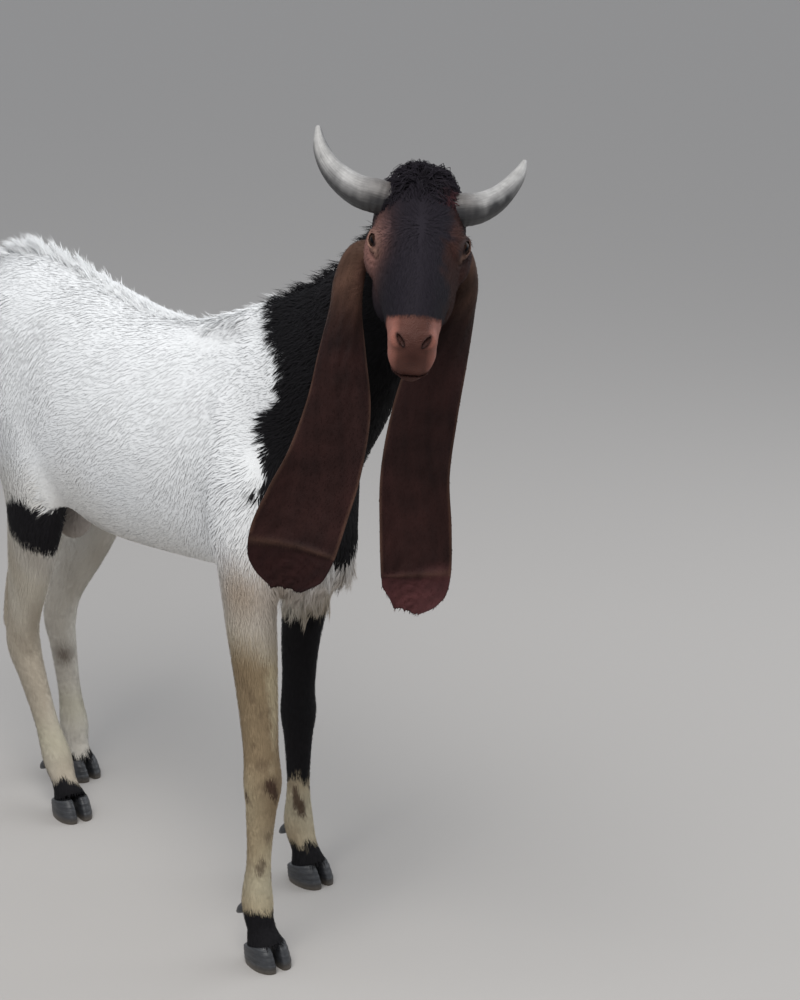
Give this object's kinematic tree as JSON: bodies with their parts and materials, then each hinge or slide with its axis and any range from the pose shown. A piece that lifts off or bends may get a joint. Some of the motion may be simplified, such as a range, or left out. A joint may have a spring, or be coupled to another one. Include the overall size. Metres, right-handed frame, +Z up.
{
  "type": "billy goat",
  "caption": "Standing long-eared billy goat with swept horns, its head turned aside, in a short coat with a dark head and neck and a pale body",
  "frame": {"origin": "on the ground, at the middle of the bounding box seen from above", "axes": "+Z up; the goat faces -Y; its left side is +X"},
  "size_m": [0.3308, 1.3186, 1.1556],
  "materials": {
    "white_coat": "short white hair, cream lower down",
    "black_coat": "short black hair, longer along the crest",
    "ear": "thin dark red-brown skin with very short hair",
    "bare_skin": "bare grey-brown skin",
    "horn": "dull grey horn",
    "hoof": "dull blue-grey horn",
    "eye": "wet amber-brown eye"
  },
  "bodies": {
    "root": {"torso": "white_coat", "neck": "black_coat", "head": "black_coat", "tail": "white_coat", "scrotum": "bare_skin", "leg_fore_right": "white_coat", "leg_fore_left": "white_coat", "leg_hind_right": "white_coat", "leg_hind_left": "white_coat", "eye_right": "eye", "eye_left": "eye", "horn_right": "horn", "horn_left": "horn", "ear_right": "ear", "ear_left": "ear", "claw_fore_right_outer": "hoof", "claw_fore_right_inner": "hoof", "dewclaw_fore_right_outer": "hoof", "dewclaw_fore_right_inner": "hoof", "claw_fore_left_outer": "hoof", "claw_fore_left_inner": "hoof", "dewclaw_fore_left_outer": "hoof", "dewclaw_fore_left_inner": "hoof", "claw_hind_right_outer": "hoof", "claw_hind_right_inner": "hoof", "dewclaw_hind_right_outer": "hoof", "dewclaw_hind_right_inner": "hoof", "claw_hind_left_outer": "hoof", "claw_hind_left_inner": "hoof", "dewclaw_hind_left_outer": "hoof", "dewclaw_hind_left_inner": "hoof"}
  },
  "joints": []
}
